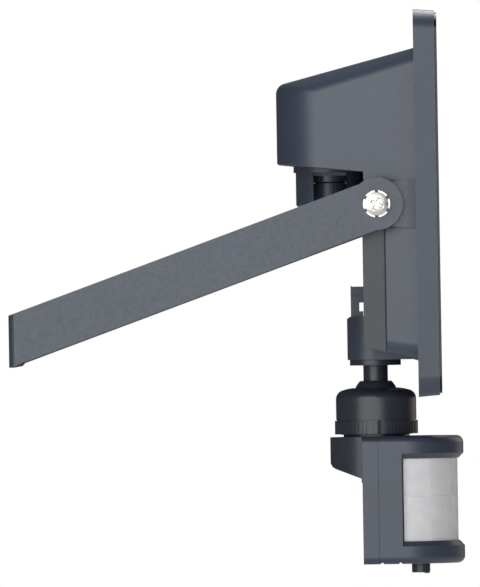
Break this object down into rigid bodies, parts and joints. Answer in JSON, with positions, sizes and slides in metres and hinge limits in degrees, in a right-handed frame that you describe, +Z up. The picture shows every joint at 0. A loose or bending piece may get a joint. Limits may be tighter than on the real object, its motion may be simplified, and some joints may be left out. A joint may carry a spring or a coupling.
{
  "type": "solar flood light",
  "caption": "Rectangular LED flood light on a U-shaped wall bracket, with a rear battery bay, a capped power socket and a motion sensor hung below on a ball joint.",
  "frame": {"origin": "centre of the wall plate's back face, on the axis of its central bolt hole", "axes": "+X out of the wall, the way the light shines; +Z up; +Y across the width, along the tilt axis"},
  "size_m": [0.2069, 0.22, 0.2585],
  "materials": {
    "powder_coated_steel": "satin grey powder coat",
    "zinc_plated_steel": "bright zinc plate",
    "grey_abs": "fine moulded grain",
    "black_acetal": "smooth moulded, satin",
    "black_rubber": "matt",
    "black_border": "printed black border",
    "tempered_glass": "clear, polished",
    "black_anodised_aluminium": "dark anodised",
    "bare_aluminium": "mill finish",
    "metallised_plastic": "vacuum metallised",
    "white_solder_mask": "white solder mask",
    "led_phosphor": "yellow phosphor",
    "green_board": "green solder mask",
    "black_component": "moulded epoxy",
    "brass": "turned",
    "cell_sleeve": "shrink sleeve",
    "lead_jacket": "flexible PVC",
    "milky_polyethylene": "milky, translucent",
    "blue_trimmer": "moulded"
  },
  "bodies": {
    "bracket": {"wall_bracket": "powder_coated_steel"},
    "lamp": {"friction_washers": "black_rubber", "pivot_screws": "zinc_plated_steel", "star_washers": "zinc_plated_steel", "pivot_inserts": "brass", "rear_housing": "grey_abs", "heat_sink": "black_anodised_aluminium", "heat_sink_screws": "zinc_plated_steel", "frame_seal": "black_rubber", "frame_screws": "zinc_plated_steel", "front_frame": "grey_abs", "front_trim": "black_border", "glass_gasket": "black_rubber", "front_glass": "tempered_glass", "reflector": "metallised_plastic", "led_board": "white_solder_mask", "led_chips": "led_phosphor", "led_tray": "bare_aluminium", "tray_screws": "zinc_plated_steel", "battery_holder": "black_component", "battery_cells": "cell_sleeve", "control_board": "green_board", "board_parts": "black_component", "board_spacers": "brass", "board_screws": "zinc_plated_steel", "battery_lead": "lead_jacket", "panel_lead": "lead_jacket", "socket_body": "grey_abs", "socket_pins": "brass", "socket_nut": "black_acetal", "sensor_mount": "grey_abs", "mount_seal": "black_rubber", "mount_screws": "zinc_plated_steel", "lug_screw": "zinc_plated_steel", "ball_stud": "black_acetal"},
    "sensor_head": {"sensor_neck": "black_acetal", "neck_screws": "zinc_plated_steel", "rear_cover": "grey_abs", "cover_seal": "black_rubber", "cover_screws": "zinc_plated_steel", "sensor_housing": "grey_abs", "lens_frame": "black_component", "fresnel_lens": "milky_polyethylene", "sensor_board": "green_board", "pyro_detector": "zinc_plated_steel", "potentiometers": "blue_trimmer"},
    "cap_seal": {"cap_seal": "black_rubber"},
    "socket_cap": {"socket_cap": "black_acetal"},
    "ball_seat": {"ball_seat": "black_acetal"},
    "ball_ring": {"ball_ring": "black_acetal"},
    "clamp_nut": {"clamp_nut": "black_acetal"},
    "time_knob": {"time_knob": "black_acetal"},
    "lux_knob": {"lux_knob": "black_acetal"},
    "range_knob": {"range_knob": "black_acetal"}
  },
  "joints": [
    {"name": "lamp_tilt", "type": "hinge", "parent": "bracket", "child": "lamp", "pos_m": [0.169, 0, 0.06018], "axis": [0, 1, 0], "range_deg": [-90, 55]},
    {"name": "cap_slide", "type": "slide", "parent": "lamp", "child": "cap_seal", "axis": [0, 0, -1], "range_m": [0, 0.003]},
    {"name": "cap_turn", "type": "hinge", "parent": "cap_seal", "child": "socket_cap", "pos_m": [0.1474, 0, 0.07098], "axis": [0, 0, -1], "range_deg": [0, 720]},
    {"name": "sensor_pan", "type": "hinge", "parent": "lamp", "child": "ball_seat", "pos_m": [0.167, 0, -0.02832], "axis": [0, 0, 1], "range_deg": [-170, 170]},
    {"name": "sensor_tilt", "type": "hinge", "parent": "ball_seat", "child": "ball_ring", "pos_m": [0.167, 0, -0.02832], "axis": [0, 1, 0], "range_deg": [-15, 15]},
    {"name": "sensor_roll", "type": "hinge", "parent": "ball_ring", "child": "sensor_head", "pos_m": [0.167, 0, -0.02832], "axis": [1, 0, 0], "range_deg": [-15, 15]},
    {"name": "clamp_turn", "type": "hinge", "parent": "sensor_head", "child": "clamp_nut", "pos_m": [0.167, 0, -0.02832], "axis": [0, 0, 1], "range_deg": [0, 90]},
    {"name": "time_turn", "type": "hinge", "parent": "sensor_head", "child": "time_knob", "pos_m": [0.1865, -0.013, -0.10782], "axis": [0, 0, -1], "range_deg": [-135, 135]},
    {"name": "lux_turn", "type": "hinge", "parent": "sensor_head", "child": "lux_knob", "pos_m": [0.1865, 0, -0.10782], "axis": [0, 0, -1], "range_deg": [-135, 135]},
    {"name": "range_turn", "type": "hinge", "parent": "sensor_head", "child": "range_knob", "pos_m": [0.1865, 0.013, -0.10782], "axis": [0, 0, -1], "range_deg": [-135, 135]}
  ],
  "couplings": [
    {"joint": "cap_turn", "follows": "cap_slide", "rad_per_m": 4188.8}
  ]
}
